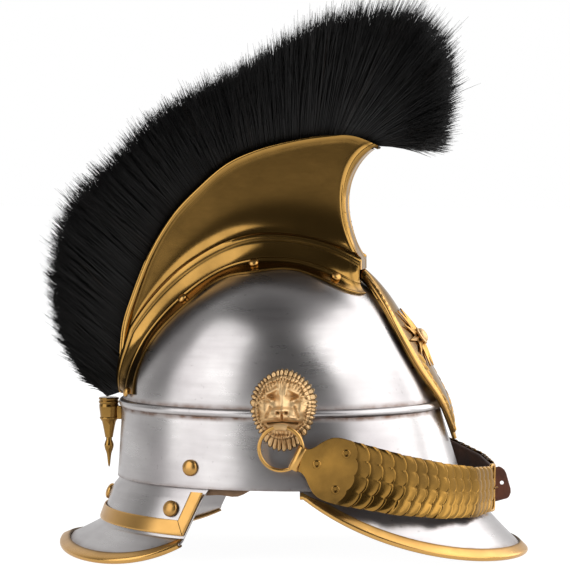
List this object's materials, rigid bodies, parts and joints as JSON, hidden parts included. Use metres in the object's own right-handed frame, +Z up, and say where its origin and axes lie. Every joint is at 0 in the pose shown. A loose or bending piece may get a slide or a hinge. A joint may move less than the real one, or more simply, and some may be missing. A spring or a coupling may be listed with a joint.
{
  "type": "cavalry helmet",
  "caption": "Combed steel cavalry helmet with brass fittings, a black horsehair crest, lion masks and jointed scale chinstraps.",
  "frame": {"origin": "middle of the helmet on the surface it stands on, below the middle of the skull rim", "axes": "+X is the front of the helmet, +Y the left side of its wearer, +Z up"},
  "size_m": [0.319, 0.2118, 0.3629],
  "materials": {
    "steel": "polished plate with fine wear",
    "hair": "black horsehair",
    "strap_leather": "dark worn leather",
    "lining_leather": "plain lining leather",
    "bright_brass": "polished",
    "old_brass": "aged, with bright edges"
  },
  "bodies": {
    "helmet": {"skull": "steel", "front_visor": "steel", "front_visor_trim": "bright_brass", "rear_visor": "steel", "rear_visor_trim": "bright_brass", "rear_visor_band": "bright_brass", "comb_left": "old_brass", "comb_right": "old_brass", "comb_front_strip": "old_brass", "crest_trough": "old_brass", "tail_ferrule": "bright_brass", "tail_finial": "bright_brass", "visor_rivets": "bright_brass", "comb_rivets": "bright_brass", "front_plate": "bright_brass", "front_plate_border": "bright_brass", "front_plate_star": "bright_brass", "front_plate_studs": "bright_brass", "lion_left": "old_brass", "lion_right": "old_brass", "ring_staples": "old_brass", "liner_band": "lining_leather", "liner_tongues": "lining_leather", "hair_1": "hair", "hair_2": "hair", "hair_3": "hair", "hair_4": "hair", "hair_5": "hair"},
    "ring_right": {"ring_right": "old_brass"},
    "lug_right": {"lug_right": "old_brass", "lug_leather_right": "strap_leather", "lug_eyelets_right": "old_brass"},
    "strap_right_1": {"strap_right_1": "strap_leather", "scales_right_1": "old_brass"},
    "strap_right_2": {"strap_right_2": "strap_leather", "scales_right_2": "old_brass"},
    "strap_right_3": {"strap_right_3": "strap_leather", "scales_right_3": "old_brass"},
    "strap_right_4": {"strap_right_4": "strap_leather", "scales_right_4": "old_brass", "buckle_frame": "old_brass"},
    "ring_left": {"ring_left": "old_brass"},
    "lug_left": {"lug_left": "old_brass", "lug_leather_left": "strap_leather", "lug_eyelets_left": "old_brass"},
    "strap_left_1": {"strap_left_1": "strap_leather", "scales_left_1": "old_brass"},
    "strap_left_2": {"strap_left_2": "strap_leather", "scales_left_2": "old_brass"},
    "strap_left_3": {"strap_left_3": "strap_leather", "scales_left_3": "old_brass"},
    "strap_left_4": {"strap_left_4": "strap_leather", "scales_left_4": "old_brass", "billet": "strap_leather"},
    "buckle_prong": {"buckle_prong": "old_brass"}
  },
  "joints": [
    {"name": "ring_turn_right", "type": "hinge", "parent": "helmet", "child": "ring_right", "pos_m": [0.007, -0.101, 0.0786], "axis": [0, -1, 0], "range_deg": [0, 30]},
    {"name": "lug_swing_right", "type": "hinge", "parent": "ring_right", "child": "lug_right", "pos_m": [0.01947, -0.101, 0.07224], "axis": [-0.454, 0, -0.891], "range_deg": [0, 50]},
    {"name": "flex_right_1", "type": "hinge", "parent": "lug_right", "child": "strap_right_1", "pos_m": [0.05214, -0.09684, 0.06224], "axis": [-0.2172, -0.0887, -0.9721], "range_deg": [0, 11]},
    {"name": "flex_right_2", "type": "hinge", "parent": "strap_right_1", "child": "strap_right_2", "pos_m": [0.08275, -0.08434, 0.05426], "axis": [-0.1379, -0.1083, -0.9845], "range_deg": [0, 11]},
    {"name": "flex_right_3", "type": "hinge", "parent": "strap_right_2", "child": "strap_right_3", "pos_m": [0.10791, -0.06458, 0.04856], "axis": [-0.0628, -0.0907, -0.9939], "range_deg": [0, 11]},
    {"name": "flex_right_4", "type": "hinge", "parent": "strap_right_3", "child": "strap_right_4", "pos_m": [0.12545, -0.03926, 0.04514], "axis": [-0.0107, -0.0365, -0.9993], "range_deg": [0, 11]},
    {"name": "ring_turn_left", "type": "hinge", "parent": "helmet", "child": "ring_left", "pos_m": [0.007, 0.101, 0.0786], "axis": [0, -1, 0], "range_deg": [0, 30]},
    {"name": "lug_swing_left", "type": "hinge", "parent": "ring_left", "child": "lug_left", "pos_m": [0.01947, 0.101, 0.07224], "axis": [0.454, 0, 0.891], "range_deg": [0, 50]},
    {"name": "flex_left_1", "type": "hinge", "parent": "lug_left", "child": "strap_left_1", "pos_m": [0.05214, 0.09684, 0.06224], "axis": [0.2172, -0.0887, 0.9721], "range_deg": [0, 11]},
    {"name": "flex_left_2", "type": "hinge", "parent": "strap_left_1", "child": "strap_left_2", "pos_m": [0.08275, 0.08434, 0.05426], "axis": [0.1379, -0.1083, 0.9845], "range_deg": [0, 11]},
    {"name": "flex_left_3", "type": "hinge", "parent": "strap_left_2", "child": "strap_left_3", "pos_m": [0.10791, 0.06458, 0.04856], "axis": [0.0628, -0.0907, 0.9939], "range_deg": [0, 11]},
    {"name": "flex_left_4", "type": "hinge", "parent": "strap_left_3", "child": "strap_left_4", "pos_m": [0.12545, 0.03926, 0.04514], "axis": [0.0107, -0.0365, 0.9993], "range_deg": [0, 11]},
    {"name": "prong_turn", "type": "hinge", "parent": "strap_right_4", "child": "buckle_prong", "pos_m": [0.13726, -0.00718, 0.04384], "axis": [-0.0107, -0.0365, -0.9993], "range_deg": [0, 45]}
  ],
  "couplings": [
    {"joint": "flex_right_1", "follows": "lug_swing_right", "ratio": 0.2},
    {"joint": "flex_right_2", "follows": "lug_swing_right", "ratio": 0.2},
    {"joint": "flex_right_3", "follows": "lug_swing_right", "ratio": 0.2},
    {"joint": "flex_right_4", "follows": "lug_swing_right", "ratio": 0.2},
    {"joint": "flex_left_1", "follows": "lug_swing_left", "ratio": 0.2},
    {"joint": "flex_left_2", "follows": "lug_swing_left", "ratio": 0.2},
    {"joint": "flex_left_3", "follows": "lug_swing_left", "ratio": 0.2},
    {"joint": "flex_left_4", "follows": "lug_swing_left", "ratio": 0.2}
  ]
}
